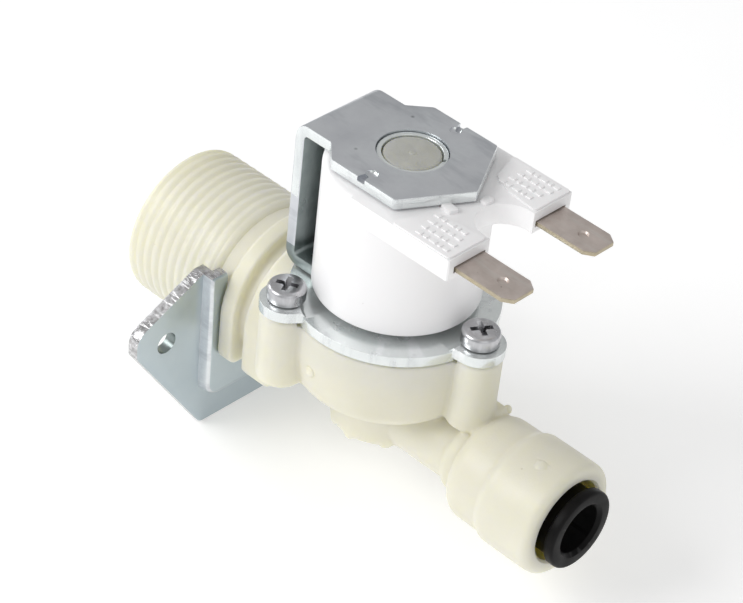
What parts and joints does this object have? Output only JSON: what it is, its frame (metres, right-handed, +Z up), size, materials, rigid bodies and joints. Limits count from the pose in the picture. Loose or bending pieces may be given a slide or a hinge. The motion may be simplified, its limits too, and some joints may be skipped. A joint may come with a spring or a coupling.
{
  "type": "solenoid valve",
  "caption": "Water inlet solenoid valve: threaded plastic inlet with mounting bracket, diaphragm cup, clamped coil with steel yoke and blade terminals, push-fit outlet.",
  "frame": {"origin": "centre of the valve's length and width, at the level of the bracket's foot", "axes": "+X along the flow from inlet to outlet, +Z up along the coil axis, +Y across"},
  "size_m": [0.0878, 0.0574, 0.0626],
  "materials": {
    "nylon": "natural cream nylon, satin, slightly translucent",
    "grey_nylon": "translucent grey nylon, satin",
    "white_plastic": "white moulded plastic, glossy",
    "black_plastic": "black moulded plastic, semi-gloss",
    "zinc": "bright bluish zinc plate",
    "steel": "bright steel",
    "tinned_brass": "tinned brass blade with bare sheared edges",
    "copper": "enamelled copper winding",
    "rubber": "black moulded rubber",
    "blue_plastic": "blue moulded mesh"
  },
  "bodies": {
    "valve": {"valve_body": "nylon", "inlet_filter": "blue_plastic", "flow_regulator": "rubber", "mounting_bracket": "zinc", "diaphragm": "rubber", "core_tube": "grey_nylon", "plunger_spring": "steel", "clamp_plate": "zinc", "clamp_screw_1": "steel", "clamp_screw_2": "steel", "clamp_screw_3": "steel", "coil_shell": "white_plastic", "coil_bobbin": "black_plastic", "coil_winding": "copper", "upper_flux_sleeve": "zinc", "lower_flux_sleeve": "zinc", "yoke": "zinc", "terminal_left": "tinned_brass", "terminal_right": "tinned_brass", "tube_oring": "rubber", "spacer_ring": "white_plastic", "grab_ring": "steel"},
    "armature": {"plunger": "steel", "plunger_seal": "rubber"},
    "pilot_insert": {"diaphragm_insert": "white_plastic"},
    "collet": {"release_collet": "black_plastic"}
  },
  "joints": [
    {"name": "plunger_lift", "type": "slide", "parent": "valve", "child": "armature", "axis": [0, 0, 1], "range_m": [0, 0.0022], "stiffness_N_per_m": 250, "springref_m": -0.006, "deforming": ["plunger_spring"]},
    {"name": "diaphragm_lift", "type": "slide", "parent": "valve", "child": "pilot_insert", "axis": [0, 0, 1], "range_m": [0, 0.0018], "deforming": ["diaphragm"]},
    {"name": "collet_release", "type": "slide", "parent": "valve", "child": "collet", "axis": [-1, 0, 0], "range_m": [0, 0.0015], "stiffness_N_per_m": 500}
  ],
  "couplings": [
    {"joint": "diaphragm_lift", "follows": "plunger_lift", "ratio": 0.8}
  ]
}
